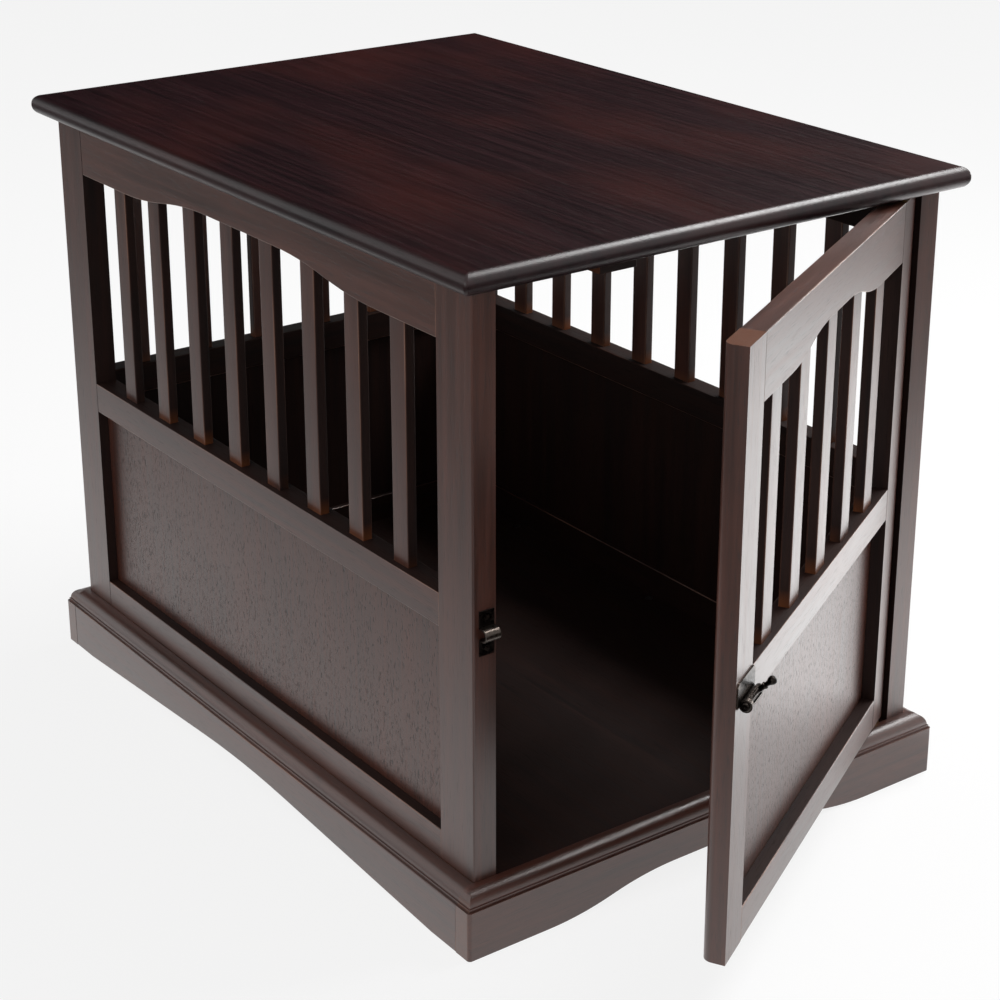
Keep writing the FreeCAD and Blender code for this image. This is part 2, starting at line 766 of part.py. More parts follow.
screw_group("floor_screws", cabinet, wide_screw, floor_screws)

# ---------------------------------------------------------------------------------------------------
# Table top, the battens that hold it and the stop that the closed door comes to
# ---------------------------------------------------------------------------------------------------
def on_top(x, y):
    """A place in the table top's own frame."""
    return f"{x} + top_width / 2", f"{y} - cabinet_y + top_depth / 2"


table_top = new_piece("PartDesign::Body", "table_top",
                      ("-top_width / 2", "cabinet_y - top_depth / 2", "0", "0"))
block(table_top, "Additive", ("0", "0", "top_under"), ("top_width", "top_depth", "top_thick"))
soften(table_top, "top_edge_round", lambda edge: edge.BoundBox.ZLength < tiny)

top_batten_low = "top_under - batten_size"
top_screws = []
for label, side in (("top_batten_left", "-1"), ("top_batten_right", "1")):
    x = f"{side} * (inner_width / 2 - batten_size / 2)"
    body = board(label, (f"{x} - batten_size / 2", "front_y + batten_end_gap", top_batten_low),
                 ("batten_size", "inner_depth - 2 * batten_end_gap", "batten_size"))
    for y in floor_screw_ys:
        screw_hole(body, wide_screw, (x, y, top_batten_low), upright, "batten_size")
        top_screws.append((x, y, top_batten_low, upright))
stop_x = "-inner_width / 2 + stop_inset"
stop_y = "front_y + door_thick + clear_gap"
door_stop = board("door_stop", (stop_x, stop_y, top_batten_low),
                  ("stop_length", "batten_size", "batten_size"))
stop_screw = (f"{stop_x} + stop_length / 2", f"{stop_y} + batten_size / 2", top_batten_low, upright)
screw_hole(door_stop, wide_screw, stop_screw[:3], upright, "batten_size")
top_screws.append(stop_screw)
for x, y, _, way in top_screws:
    screw_hole(table_top, wide_screw, (*on_top(x, y), "top_under"), way,
               "screw_length - batten_size + joint_gap", countersunk=False)
rod(table_top, "Subtractive", (*on_top("pivot_x", "pivot_y"), "top_under"), upright, *bush_hole)
screw_group("top_screws", cabinet, wide_screw, top_screws)

# ---------------------------------------------------------------------------------------------------
# Door, built closed in its own frame and then turned about its pivots
# ---------------------------------------------------------------------------------------------------
door = Frame("door", door_face, "door_width", stile="door_stile", thick="door_thick", low="door_low",
             high="door_high", low_rail_top="(door_low + door_low_rail)", top_rail="door_top_rail",
             count="door_slat_count", end_gap="door_slat_end_gap", rise="door_arch_rise",
             flat="door_arch_flat", middle="door_arch_middle", slat_width="door_slat_width",
             panel_setback="door_panel_setback", panel_thick="door_panel_thick")
free_stile = door_stile("door_free_stile", door, left=True)
hinge_stile = door_stile("door_hinge_stile", door, left=False)
for rail, low, height in door.rails():
    frame_rail(door, rail, low, height)
frame_panel(door, "groove_depth - joint_gap")
frame_slats(door)

# Steel pins fixed in the ends of the hinge stile turn in flanged bushes in the floor and the table top.
pin_hole = "pin_radius + running_gap"
for name, end, bush_face, gap, outward in (
        ("bottom", "door_low", "floor_top", "(door_low - floor_top)", -upright),
        ("top", "door_high", "top_under", "door_top_gap", upright)):
    rod(hinge_stile, "Subtractive", ("pivot_along", "door_thick / 2", end), -outward, pin_hole,
        "pin_in_door + clear_gap")
    pin_length = f"pin_in_door + {gap} + pin_in_bush"
    pin_low = f"{end} - pin_in_door" if outward.z > 0 else f"{bush_face} - pin_in_bush"
    pin = new_piece("Part::Cylinder", f"pivot_pin_{name}", ("pivot_x", "pivot_y", pin_low, "door_open"))
    bind(pin, Radius="pin_radius", Height=pin_length)
    bush = new_piece("PartDesign::Body", f"pivot_bush_{name}", ("pivot_x", "pivot_y", "0", "0"))
    flange = f"({gap} - clear_gap)"
    rod(bush, "Additive", ("0", "0", bush_face), outward, "bush_radius", "pin_in_bush")
    rod(bush, "Additive", ("0", "0", bush_face), -outward, "flange_radius", flange)
    bore_start = f"{bush_face} - {flange}" if outward.z > 0 else f"{bush_face} + {flange}"
    rod(bush, "Subtractive", ("0", "0", bore_start), outward, pin_hole, f"{flange} + pin_in_bush")

# ---------------------------------------------------------------------------------------------------
# Latch: a plate rolled into a barrel, a bolt that slides in it and a knob that leans up and outward.
# Here x runs from the plate's inner end towards the door's free edge and y points out of the door.
# ---------------------------------------------------------------------------------------------------
screw_far = "latch_plate_length - latch_screw_inset"
plate_low = "latch_height"
plate_high = "(latch_height + latch_plate_height)"
plate_corners = [
    ("0", plate_low),
    ("latch_plate_length", plate_low),
    ("latch_plate_length", f"{plate_high} - latch_plate_round", "latch_plate_round", 1),
    ("latch_plate_length - latch_plate_round", plate_high),
    ("latch_plate_round", plate_high, "latch_plate_round", 1),
    ("0", f"{plate_high} - latch_plate_round"),
]
latch_plate = new_piece("PartDesign::Body", "latch_plate", latch_face)
pad(latch_plate, outline(latch_plate, "XZ_Plane", plate_corners), "latch_plate_thick", reverse=True)
rod(latch_plate, "Additive", ("barrel_start", "bolt_axis", "latch_height"), along_x,
    "barrel_radius", "barrel_length")
rod(latch_plate, "Subtractive", ("0", "bolt_axis", "latch_height"), along_x, "bolt_radius + running_gap",
    "latch_plate_length")
slot_half = "(stem_radius + slot_gap)"
slot_end = "barrel_start + bolt_throw + stem_radius + slot_gap"
slot_low = f"bolt_axis - {slot_half} * cos({knob_lean})"
slot = block(latch_plate, "Subtractive", ("0", slot_low, f"latch_height + {slot_half} * sin({knob_lean})"),
             (slot_end, f"2 * {slot_half}", "2 * barrel_radius"))
slot.Placement.Rotation = FreeCAD.Rotation(along_x, -knob_lean)
latch_screws = [(x, "latch_plate_thick", "latch_height + latch_screw_rise", -along_y)
                for x in ("latch_screw_inset", screw_far)]
for spot in latch_screws:
    screw_hole(latch_plate, narrow_screw, spot[:3], spot[3], "latch_plate_thick")
screw_group("latch_screws", latch_face, narrow_screw, latch_screws)
for x in ("latch_screw_inset", screw_far):
    screw_hole(free_stile, narrow_screw, (f"latch_inset - ({x})", "0", "latch_height + latch_screw_rise"),
               along_y, "pin_screw_length", countersunk=False)

stem_x = "barrel_start"
bolt_end = "barrel_start + barrel_length + bolt_past_barrel"
latch_bolt = new_piece("PartDesign::Body", "latch_bolt", latch_face)
rod(latch_bolt, "Additive", (f"{bolt_end} - bolt_length", "bolt_axis", "latch_height"), along_x,
    "bolt_radius", "bolt_length")
rod(latch_bolt, "Subtractive", (stem_x, "bolt_axis", "latch_height"), knob_way, "stem_radius + running_gap",
    "2 * bolt_radius")

stem = doc.addObject("Part::Cylinder", "knob_stem")
bind(stem, Radius="stem_radius", Height="stem_length")
ball = doc.addObject("Part::Sphere", "knob_ball")
bind(ball, Radius="knob_radius")
for solid, along in ((stem, "0"), (ball, "stem_length")):
    solid.Placement.Rotation = FreeCAD.Rotation(upright, knob_way)
    move(solid, stem_x, f"bolt_axis + {along} * sin({knob_lean})",
         f"latch_height + {along} * cos({knob_lean})")
knob = new_piece("Part::Fuse", "latch_knob", latch_face)
knob.Base = stem
knob.Tool = ball

# Keeper: a strap on the front edge of the left frame, with a half-round bridge that the bolt enters.
inside = "(bolt_radius + keeper_gap)"
outside = "(bolt_radius + keeper_gap + keeper_thick)"
half_keeper = "keeper_length / 2"
keeper_corners = [
    ("0", f"latch_height - {half_keeper}"),
    ("keeper_thick", f"latch_height - {half_keeper}"),
    ("keeper_thick", f"latch_height - {outside}"),
    ("bolt_axis", f"latch_height - {outside}", outside, 1),
    (f"bolt_axis + {outside}", "latch_height", outside, 1),
    ("bolt_axis", f"latch_height + {outside}"),
    ("keeper_thick", f"latch_height + {outside}"),
    ("keeper_thick", f"latch_height + {half_keeper}"),
    ("0", f"latch_height + {half_keeper}"),
    ("0", f"latch_height + {inside}"),
    ("bolt_axis", f"latch_height + {inside}", inside, -1),
    (f"bolt_axis + {inside}", "latch_height", inside, -1),
    ("bolt_axis", f"latch_height - {inside}"),
    ("0", f"latch_height - {inside}"),
]
keeper = new_piece("PartDesign::Body", "keeper", keeper_face)
pad(keeper, outline(keeper, "YZ_Plane", keeper_corners), "keeper_width")
keeper_screws = [("keeper_width / 2", "keeper_thick", f"latch_height + {side} * keeper_screw_rise", -along_y)
                 for side in ("-1", "1")]
front_stile = next(piece for piece in pieces if piece.Label == "left_front_stile")
for spot in keeper_screws:
    screw_hole(keeper, narrow_screw, spot[:3], spot[3], "keeper_thick")
    screw_hole(front_stile, narrow_screw, ("carcass_depth", "keeper_inset", spot[2]), -along_x,
               "pin_screw_length", countersunk=False)
screw_group("keeper_screws", keeper_face, narrow_screw, keeper_screws)

# ---------------------------------------------------------------------------------------------------
# Check and write
# ---------------------------------------------------------------------------------------------------
doc.recompute()
for thing in doc.Objects:
    if "Invalid" in thing.State or "Error" in thing.State:
        raise RuntimeError(f"{thing.Label} failed: {thing.State}")
for piece in pieces:
    if piece.Shape.isNull() or not piece.Shape.isValid() or not piece.Shape.Solids:
        raise RuntimeError(f"{piece.Label} has no valid solid")

os.makedirs("parts", exist_ok=True)
for piece in pieces:
    piece.Shape.exportStep(f"parts/{piece.Label}.step")
print(len(pieces), "pieces written")
print("pivot at", number("pivot_x"), number("pivot_y"), "cabinet centre y", number("cabinet_y"))
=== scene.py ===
import json
import math
import random

import bmesh
import bpy
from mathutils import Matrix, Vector

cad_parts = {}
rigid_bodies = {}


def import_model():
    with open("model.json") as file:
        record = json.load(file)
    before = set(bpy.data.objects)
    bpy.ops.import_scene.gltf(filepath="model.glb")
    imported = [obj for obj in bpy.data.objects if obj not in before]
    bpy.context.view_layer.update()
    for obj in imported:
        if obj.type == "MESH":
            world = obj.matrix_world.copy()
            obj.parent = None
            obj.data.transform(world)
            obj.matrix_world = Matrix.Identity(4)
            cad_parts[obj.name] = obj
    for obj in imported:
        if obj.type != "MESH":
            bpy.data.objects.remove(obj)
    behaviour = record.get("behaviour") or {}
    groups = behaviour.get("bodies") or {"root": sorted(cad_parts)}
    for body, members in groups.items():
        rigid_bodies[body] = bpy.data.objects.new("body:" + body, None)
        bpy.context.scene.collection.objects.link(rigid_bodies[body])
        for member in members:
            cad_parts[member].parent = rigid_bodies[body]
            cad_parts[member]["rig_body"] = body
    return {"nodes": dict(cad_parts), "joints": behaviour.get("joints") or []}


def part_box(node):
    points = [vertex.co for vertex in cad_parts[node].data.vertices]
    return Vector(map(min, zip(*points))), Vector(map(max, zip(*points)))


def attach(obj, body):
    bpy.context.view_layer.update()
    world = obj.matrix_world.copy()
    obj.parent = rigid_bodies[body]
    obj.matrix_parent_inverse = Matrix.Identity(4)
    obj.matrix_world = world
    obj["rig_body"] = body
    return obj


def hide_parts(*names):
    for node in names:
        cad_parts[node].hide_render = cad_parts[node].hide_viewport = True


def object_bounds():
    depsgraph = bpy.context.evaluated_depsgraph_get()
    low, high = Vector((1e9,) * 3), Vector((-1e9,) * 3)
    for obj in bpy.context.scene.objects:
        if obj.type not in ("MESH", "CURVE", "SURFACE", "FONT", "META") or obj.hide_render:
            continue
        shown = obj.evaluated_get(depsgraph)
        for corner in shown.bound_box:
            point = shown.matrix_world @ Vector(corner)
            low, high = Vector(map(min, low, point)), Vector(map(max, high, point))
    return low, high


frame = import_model()
cadLow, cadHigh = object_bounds()
nodes = frame["nodes"]
mm = 0.001
print("frame loaded:", len(nodes), "nodes")

# The door stands open at rest. The bolt slides along the door, so its joint gives the door's angle.
joints = {joint["name"]: joint for joint in frame["joints"]}
towardsFreeEdge = Vector(joints["bolt_slide"]["axis"]).normalized()
wide, deep, up = Vector((1, 0, 0)), Vector((0, 1, 0)), Vector((0, 0, 1))
outOfDoor = towardsFreeEdge.cross(up)
if outOfDoor.y > 0:
    outOfDoor.negate()

# Along, across and through a board: the way its grain runs, then its width, then its thickness.
layouts = {
    "sideUpright": (up, deep, wide),
    "sideRail": (deep, up, wide),
    "backUpright": (up, wide, deep),
    "backRail": (wide, up, deep),
    "flatLong": (deep, wide, up),
    "doorUpright": (up, towardsFreeEdge, outOfDoor),
    "doorRail": (towardsFreeEdge, up, outOfDoor),
}


def toLinear(code):
    channels = [int(code[i:i + 2], 16) / 255 for i in (1, 3, 5)]
    return tuple(c / 12.92 if c <= 0.04045 else ((c + 0.055) / 1.055) ** 2.4 for c in channels) + (1.0,)


def addNode(tree, kind, settings=None, inputs=None):
    # settings go on the node, inputs on its sockets: a socket as the value makes a link
    node = tree.nodes.new(kind)
    for key, value in (settings or {}).items():
        setattr(node, key, value)
    for key, value in (inputs or {}).items():
        if isinstance(value, bpy.types.NodeSocket):
            tree.links.new(value, node.inputs[key])
        else:
            node.inputs[key].default_value = value
    return node


def startMaterial(name):
    material = bpy.data.materials.new(name)
    material.use_nodes = True
    tree = material.node_tree
    tree.nodes.clear()
    return material, tree


# Rubberwood, sanded, wiped with espresso stain and sprayed with satin lacquer. The eye gets a nearly black
# red-brown with warmer streaks along the grain, short dark pores and a soft grey sheen at a low angle.
boardLook = {
    "dark": "#341910",
    "light": "#522c21",
    "warm": "#633423",
    "pore": "#140907",
    "arris": "#a57c68",  # where sandpaper went through the stain along an edge, drawn lighter as a painted highlight
    "endGrain": "#6f4027",
    "foot": "#7a4424",
    "warmShare": 0.3,
    "poreShare": 0.5,
    "arrisShare": 0.5,
    "endShare": 0.8,
    "footShare": 0.8,
    "footHeight": 0.0,  # mm of thin stain above the rail, at the foot of each slat
    "footInRail": 8,  # mm of each slat that is inside the rail
    "streakLength": 260,  # mm
    "streakWidth": 8,
    "cloudSize": 70,  # across the grain, and twice that along it
    "poreLength": 16,
    "poreWidth": 1.1,  # real pores are 0.2 mm wide: drawn this coarse so that they show
    "peelLength": 6,  # the lacquer's orange peel
    "peelWidth": 2.5,
    "streakRange": (0.34, 0.68),  # the noise values between which each layer goes from none to all
    "warmRange": (0.45, 0.72),
    "poreRange": (0.56, 0.7),
    "arrisRange": (0.4, 0.6),
    "footRange": (0.35, 0.6),
    "roughRange": (0.3, 0.7),
    "roughness": 0.36,
    "roughnessSpread": 0.1,
    "poreRough": 0.1,
    "ior": 1.5,
    "specular": 0.5,
    "coat": 0.8,
    "coatRoughness": 0.34,
    "bump": 0.16,
    "bumpDepth": 0.3,  # mm
    "peel": 0.25,  # share of the bump that is orange peel
}


def stainedWood(name, **changes):
    look = {**boardLook, **changes}
    material, tree = startMaterial(name)
    marks = {"grain": "Vector", "arris": "Fac", "endGrain": "Fac"}  # written on each board's mesh
    if look["footHeight"]:
        marks["fromFoot"] = "Fac"
    for mark, output in marks.items():
        marks[mark] = addNode(tree, "ShaderNodeAttribute", {"attribute_name": mark}).outputs[output]

    noises = {  # length and width in mm, detail, roughness, distortion
        "streaks": (look["streakLength"], look["streakWidth"], 5.0, 0.62, 0.35),
        "clouds": (look["cloudSize"] * 2, look["cloudSize"], 3.0, 0.5, 0.0),
        "pores": (look["poreLength"], look["poreWidth"], 2.0, 0.5, 0.0),
        "peel": (look["peelLength"], look["peelWidth"], 1.0, 0.5, 0.0),
    }
    for noise, (length, width, detail, roughness, distortion) in noises.items():
        scale = (1 / (length * mm), 1 / (width * mm), 1 / (width * mm))
        place = addNode(tree, "ShaderNodeVectorMath", {"operation": "MULTIPLY"}, {
            0: marks["grain"], 1: scale}).outputs[0]
        noises[noise] = addNode(tree, "ShaderNodeTexNoise", inputs={
            "Vector": place, "Scale": 1.0, "Detail": detail, "Roughness": roughness,
            "Distortion": distortion}).outputs["Fac"]

    spread = look["roughnessSpread"] / 2
    drawn = {  # what a layer follows, the values it starts and ends at, and its strength at each
        "light": (noises["streaks"], look["streakRange"], (0.0, 1.0)),
        "warm": (noises["clouds"], look["warmRange"], (0.0, look["warmShare"])),
        "pore": (noises["pores"], look["poreRange"], (0.0, 1.0)),
        "arris": (noises["clouds"], look["arrisRange"], (0.0, 1.0)),
        "rough": (noises["streaks"], look["roughRange"],
                  (look["roughness"] - spread, look["roughness"] + spread)),
    }
    if look["footHeight"]:
        footTop = look["footInRail"] + look["footHeight"]
        drawn["foot"] = (marks["fromFoot"], (look["footInRail"] * mm, footTop * mm), (look["footShare"], 0.0))
        drawn["footCloud"] = (noises["clouds"], look["footRange"], (0.0, 1.0))
    for layer, (value, (low, high), (atLow, atHigh)) in drawn.items():
        drawn[layer] = addNode(tree, "ShaderNodeMapRange", inputs={
            "Value": value, "From Min": low, "From Max": high, "To Min": atLow,
            "To Max": atHigh}).outputs["Result"]

    layers = {  # each colour goes over the ones before it, as strongly as these multiplied
        "light": (drawn["light"],),
        "warm": (drawn["warm"],),
        "pore": (drawn["pore"], look["poreShare"]),
        "arris": (marks["arris"], drawn["arris"], look["arrisShare"]),
        "endGrain": (marks["endGrain"], look["endShare"]),
    }
    if look["footHeight"]:
        layers["foot"] = (drawn["foot"], drawn["footCloud"])
    colour = toLinear(look["dark"])
    for layer, (share, *factors) in layers.items():
        for factor in factors:
            share = addNode(tree, "ShaderNodeMath", {"operation": "MULTIPLY"}, {
                0: share, 1: factor}).outputs[0]
        colour = addNode(tree, "ShaderNodeMix", {"data_type": "RGBA"}, {
            0: share, 6: colour, 7: toLinear(look[layer])}).outputs[2]

    rough = addNode(tree, "ShaderNodeMath", {"operation": "MULTIPLY_ADD"}, {
        0: drawn["pore"], 1: look["poreRough"], 2: drawn["rough"]}).outputs[0]
    orangePeel = addNode(tree, "ShaderNodeMath", {"operation": "MULTIPLY"}, {
        0: noises["peel"], 1: look["peel"]}).outputs[0]
    heights = addNode(tree, "ShaderNodeMath", {"operation": "SUBTRACT"}, {
        0: orangePeel, 1: drawn["pore"]}).outputs[0]
    bump = addNode(tree, "ShaderNodeBump", inputs={
        "Height": heights, "Strength": look["bump"], "Distance": look["bumpDepth"] * mm}).outputs["Normal"]
    shader = addNode(tree, "ShaderNodeBsdfPrincipled", inputs={
        "Base Color": colour, "Roughness": rough, "IOR": look["ior"], "Specular IOR Level": look["specular"],
        "Coat Weight": look["coat"], "Coat Roughness": look["coatRoughness"], "Normal": bump,
        "Coat Normal": bump})
    addNode(tree, "ShaderNodeOutputMaterial", inputs={"Surface": shader.outputs[0]})
    return material


# Painted shade: the stain drawn as a flat black-brown that hardly shines, for faces inside the cabin, under
# the top and on the narrow edges within each frame.
paintedShadeStain = {"dark": "#160b09", "light": "#26130e", "warm": "#311a12", "roughness": 0.6, "specular": 0.2,
               "coat": 0.0, "arris": "#4a2a1e"}
woods = {
    "frame": stainedWood("espresso stained rubberwood, satin lacquered"),
    # painted shade: the same stain drawn darker and redder than the frame's on the upward face, with fine
    # close streaks and a weaker sheen
    "top": stainedWood("espresso stained table board, darkened as painted shade", dark="#110508", light="#271014",
                       warm="#3c1916", streakWidth=5, streakLength=200, poreShare=0.6, warmShare=0.6,
                       roughness=0.34, coat=0.2, specular=0.3, cloudSize=110),
    # open grain of a sliced veneer: short pores close together that break the sheen into specks
    "panel": stainedWood("espresso stained sliced veneer, satin lacquered", streakWidth=3.5, streakLength=120,
                         poreLength=5, poreWidth=1.4, poreShare=0.85, poreRough=0.3, bump=0.4, peel=0.1,
                         roughness=0.38, coat=0.6),
    # stain wiped thin at the foot: a paler brown just above the rail
    "slat": stainedWood("espresso stained rubberwood slat", footHeight=10),
    # painted shade on the slats' narrow edges, keeping the paler foot
    "slatEdgeShade": stainedWood("espresso stained rubberwood slat, edges in painted shade", footHeight=14, **paintedShadeStain),
    # milled moulding with a fuller coat: a little glossier, its end grain nearly as dark as its faces
    "plinth": stainedWood("espresso stained moulded rubberwood", roughness=0.34, endShare=0.3),
    # painted shade inside the cabin and under the top, also on the frames' narrow inner edges
    "inside": stainedWood("espresso stained rubberwood inside, painted shade", **paintedShadeStain),
    # sawn and planed only: pale straw brown and dull, on battens and dowels that hardly show
    "bare": stainedWood("unfinished rubberwood", dark="#8c6847", light="#b48b63", warm="#a97a52",
                        pore="#6a4a30", arris="#a07b58", endGrain="#87633f", poreShare=0.35, roughness=0.62,
                        specular=0.3, coat=0.0),
}
print("wood materials:", len(woods))

meshWork = {
    "merge": 0.002,  # mm
    "flatWithin": 0.4,  # degrees
    "sharpFrom": 50,  # degrees between faces that are shaded apart
    "easedFrom": 40,  # degrees between faces whose edge is eased
    "shortestEased": 3,  # mm
    "onFaceWithin": 0.01,  # mm
    "facing": 0.9,  # cosine from which a face looks along a direction
    "outsideWithin": 1,  # mm
    "easeSteps": 2,
    "grainShift": 5,  # metres: each board takes its grain from another place in the noise
}


def islandsOf(bm):
    seen, islands = set(), []
    for start in bm.verts:
        if start in seen:
            continue
        stack, island = [start], []
        seen.add(start)
        while stack:
            vert = stack.pop()
            island.append(vert)
            for edge in vert.link_edges:
                other = edge.other_vert(vert)
                if other not in seen:
                    seen.add(other)
                    stack.append(other)
        islands.append(island)
    return islands


def writeGrain(bm, layout, seed):
    # each board's own grain place, and each point's height above the board's lower end
    along, across, through = layout
    grain = bm.verts.layers.float_vector.new("grain")
    fromFoot = bm.verts.layers.float.new("fromFoot")
    dice = random.Random(seed)
    reachOfShift = meshWork["grainShift"]
    for island in islandsOf(bm):
        shift = Vector([dice.uniform(-reachOfShift, reachOfShift) for _ in range(3)])
        foot = min(vert.co.dot(along) for vert in island)
        for vert in island:
            place = Vector((vert.co.dot(along), vert.co.dot(across), vert.co.dot(through)))
            vert[grain] = place + shift
            vert[fromFoot] = place.x - foot


def makePiece(name, bm, materials, body, replaced=()):
    sharp = math.radians(meshWork["sharpFrom"])
    for edge in bm.edges:
        edge.smooth = len(edge.link_faces) == 2 and edge.calc_face_angle(0) < sharp
    for face in bm.faces:
        face.smooth = True
    mesh = bpy.data.meshes.new(name)
    bm.to_mesh(mesh)
    bm.free()
    piece = bpy.data.objects.new(name, mesh)
    bpy.context.scene.collection.objects.link(piece)
    for material in materials:
        mesh.materials.append(material)
    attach(piece, body)
    if replaced:
        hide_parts(*replaced)
    weighted = piece.modifiers.new("flat faces stay flat", "WEIGHTED_NORMAL")
    weighted.keep_sharp = True


cabinMiddle = (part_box("floor_panel")[0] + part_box("floor_panel")[1]) / 2


def easedBoard(node, layoutName, wood, ease, inner=True, shaded=False, outside=()):
    # The node's own shape, with its long edges eased as sandpaper leaves them. Painted shade goes on the wide
    # face towards the cabin if inner, and on the narrow edges within the frame if shaded: they get the dark
    # stain.
    # An edge at one of the outside limits, on the outer edge of its frame, keeps the board's own wood.
    layout = layouts[layoutName]
    along, across, through = layout
    facing = meshWork["facing"]
    bm = bmesh.new()
    bm.from_mesh(nodes[node].data)
    bmesh.ops.remove_doubles(bm, verts=bm.verts, dist=meshWork["merge"] * mm)
    bmesh.ops.dissolve_limit(bm, angle_limit=math.radians(meshWork["flatWithin"]), verts=bm.verts,
                             edges=bm.edges)
    arris = bm.faces.layers.float.new("arris")
    endGrain = bm.faces.layers.float.new("endGrain")
    if ease:
        for island in islandsOf(bm):
            depths = [vert.co.dot(through) for vert in island]
            wideFaces = (min(depths), max(depths))
            island = set(island)

            def onFace(vert):
                depth = vert.co.dot(through)
                return min(abs(depth - face) for face in wideFaces) < meshWork["onFaceWithin"] * mm

            edges = [edge for edge in bm.edges if edge.verts[0] in island and len(edge.link_faces) == 2
                     and edge.calc_face_angle(0) > math.radians(meshWork["easedFrom"])
                     and edge.calc_length() > meshWork["shortestEased"] * mm
                     and onFace(edge.verts[0]) and onFace(edge.verts[1])]
            made = bmesh.ops.bevel(bm, geom=edges, offset=ease * mm, offset_type="OFFSET",
                                   segments=meshWork["easeSteps"], profile=0.5, affect="EDGES",
                                   clamp_overlap=True)
            for face in made["faces"]:
                face[arris] = 1.0
    for face in bm.faces:
        if abs(face.normal.dot(along)) > facing:
            face[endGrain] = 1.0
        middleOf = face.calc_center_median()
        towardsCabin = (cabinMiddle - middleOf).dot(face.normal)
        # material 1 is painted shade: the wide face towards the cabin, and the narrow edges within the frame
        if inner and abs(face.normal.dot(through)) > facing and towardsCabin > 0:
            face.material_index = 1
        isEdge = abs(face.normal.dot(across)) > facing
        isOuter = outside and min(
            abs(middleOf.dot(across) - limit) for limit in outside) < meshWork["outsideWithin"] * mm
        if shaded and isEdge and not isOuter:
            face.material_index = 1
    writeGrain(bm, layout, node)
    # the painted-shade stain: the slats' own, with its paler foot, or the dark inside stain
    plain = woods["slatEdgeShade"] if wood == "slat" else woods["inside"]
    makePiece("board." + node, bm, (woods[wood], plain), nodes[node]["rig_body"], [node])


boards = {  # layout, wood and eased edge in mm of each board, by the end of its name
    "side": {"front_stile": ("sideUpright", "frame", 1.0), "rear_stile": ("sideUpright", "frame", 1.0),
             "top_rail": ("sideRail", "frame", 0.8), "mid_rail": ("sideRail", "frame", 0.8),
             "bottom_rail": ("sideRail", "frame", 0.8), "panel": ("sideUpright", "panel", 0),
             "slats": ("sideUpright", "slat", 1.2)},
    "back": {"top_rail": ("backRail", "frame", 0.8), "mid_rail": ("backRail", "frame", 0.8),
             "bottom_rail": ("backRail", "frame", 0.8), "panel": ("backUpright", "panel", 0),
             "slats": ("backUpright", "slat", 1.2)},
    "door": {"free_stile": ("doorUpright", "frame", 0.8), "hinge_stile": ("doorUpright", "frame", 0.8),
             "top_rail": ("doorRail", "frame", 0.8), "mid_rail": ("doorRail", "frame", 0.8),
             "bottom_rail": ("doorRail", "frame", 0.8), "panel": ("doorUpright", "panel", 0),
             "slats": ("doorUpright", "slat", 1.2)},
}
for prefix, group in (("left", "side"), ("right", "side"), ("back", "back"), ("door", "door")):
    for part, (layoutName, wood, ease) in boards[group].items():
        node = f"{prefix}_{part}"
        outside = ()
        if "stile" in part:
            across = layouts[layoutName][1]
            spread = [vert.co.dot(across) for stile in boards[group] if "stile" in stile
                      for vert in nodes[f"{prefix}_{stile}"].data.vertices]
            outside = (min(spread), max(spread))
        elif node == "door_top_rail":
            outside = (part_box(node)[1].z,)
        easedBoard(node, layoutName, wood, ease, inner=prefix != "door" and part != "slats",
                   shaded=part != "panel", outside=outside)

otherBoards = (  # layout, wood, eased edge in mm, slot, whether the faces towards the cabin get painted shade, nodes
    ("sideRail", "plinth", 0.8, "espresso_wood", False, ("plinth_left", "plinth_right")),
    ("backRail", "plinth", 0.8, "espresso_wood", False, ("plinth_front", "plinth_rear")),
    ("flatLong", "inside", 0, "espresso_wood", True, ("floor_panel",)),
    ("sideRail", "inside", 1.0, "espresso_wood", True, ("top_batten_left", "top_batten_right")),
    ("backRail", "inside", 1.0, "espresso_wood", True, ("door_stop",)),
    ("sideRail", "bare", 0.8, "bare_wood", False, ("floor_batten_left", "floor_batten_right")),
    ("backRail", "bare", 0.8, "bare_wood", False, ("floor_batten_front", "floor_batten_rear")),
    ("backRail", "bare", 0, "bare_wood", False, ("back_dowels",)),
)
for layoutName, wood, ease, slot, inner, names in otherBoards:
    for node in names:
        easedBoard(node, layoutName, wood, ease, inner)
print("boards made")

# Edges milled to a half round, corners sanded a little where the half rounds meet.
tableTop = {
    "edgeRadius": 8.5,  # mm
    "cornerRadius": 2.5,
    "leastCorner": 0.3,  # where the half round runs out on the flat face
    "edgeSteps": 10,
    "cornerSteps": 5,
}


